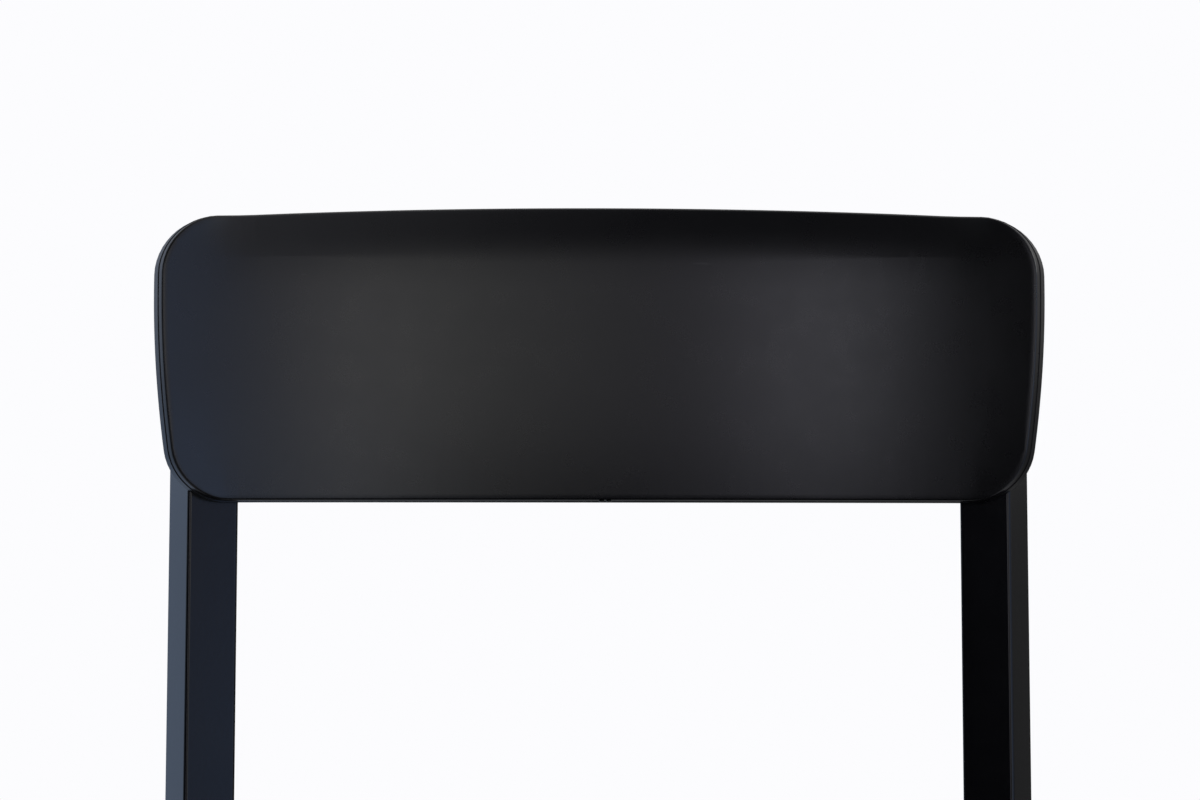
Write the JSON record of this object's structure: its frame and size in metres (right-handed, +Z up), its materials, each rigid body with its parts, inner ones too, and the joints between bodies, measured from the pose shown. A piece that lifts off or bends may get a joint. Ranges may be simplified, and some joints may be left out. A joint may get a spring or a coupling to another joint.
{
  "type": "choir chair",
  "caption": "Armless choir chair with a curved moulded backrest panel and moulded seat on a frame of bent rectangular steel tube, standing on self-levelling glides.",
  "frame": {"origin": "on the floor, at the middle of the chair's footprint", "axes": "+Z up, +Y towards the back of the chair, so a sitter faces -Y; names say left and right as seen from the front, and left is -X"},
  "size_m": [0.5156, 0.5256, 0.7985],
  "materials": {
    "moulded_shell": "fine spark-textured matte black polypropylene, lightly scuffed",
    "frame_paint": "satin black powder coat",
    "black_nylon": "plain moulded nylon",
    "black_fastener": "black zinc",
    "brass": "plain turned brass",
    "glide_steel": "bright nickel plate",
    "tread_nylon": "worn nylon",
    "bumper_rubber": "moulded rubber"
  },
  "bodies": {
    "frame": {"backrest_panel": "moulded_shell", "backrest_inserts": "brass", "backrest_screws": "black_fastener", "backrest_washers": "black_fastener", "rear_post_left": "frame_paint", "rear_post_right": "frame_paint", "post_cap_left": "black_nylon", "post_cap_right": "black_nylon", "front_leg_left": "frame_paint", "front_leg_right": "frame_paint", "front_cross_rail": "frame_paint", "rear_cross_rail": "frame_paint", "seat_shell": "moulded_shell", "seat_inserts": "brass", "seat_screws": "black_fastener", "seat_washers": "black_fastener", "stacking_bumpers": "bumper_rubber", "leg_plug_front_left": "black_nylon", "leg_plug_front_right": "black_nylon", "leg_plug_rear_left": "black_nylon", "leg_plug_rear_right": "black_nylon", "glide_stem_front_left": "glide_steel", "glide_stem_front_right": "glide_steel", "glide_stem_rear_left": "glide_steel", "glide_stem_rear_right": "glide_steel"},
    "glide_front_left": {"glide_cup_front_left": "glide_steel", "glide_tread_front_left": "tread_nylon"},
    "glide_front_right": {"glide_cup_front_right": "glide_steel", "glide_tread_front_right": "tread_nylon"},
    "glide_rear_left": {"glide_cup_rear_left": "glide_steel", "glide_tread_rear_left": "tread_nylon"},
    "glide_rear_right": {"glide_cup_rear_right": "glide_steel", "glide_tread_rear_right": "tread_nylon"}
  },
  "joints": [
    {"name": "glide_front_left_tilt", "type": "hinge", "parent": "frame", "child": "glide_front_left", "pos_m": [-0.21607, -0.24462, 0.0095], "axis": [1, 0, 0], "range_deg": [-10, 10]},
    {"name": "glide_front_right_tilt", "type": "hinge", "parent": "frame", "child": "glide_front_right", "pos_m": [0.21607, -0.24462, 0.0095], "axis": [1, 0, 0], "range_deg": [-10, 10]},
    {"name": "glide_rear_left_tilt", "type": "hinge", "parent": "frame", "child": "glide_rear_left", "pos_m": [-0.24181, 0.24462, 0.0095], "axis": [1, 0, 0], "range_deg": [-10, 10]},
    {"name": "glide_rear_right_tilt", "type": "hinge", "parent": "frame", "child": "glide_rear_right", "pos_m": [0.24181, 0.24462, 0.0095], "axis": [1, 0, 0], "range_deg": [-10, 10]}
  ]
}
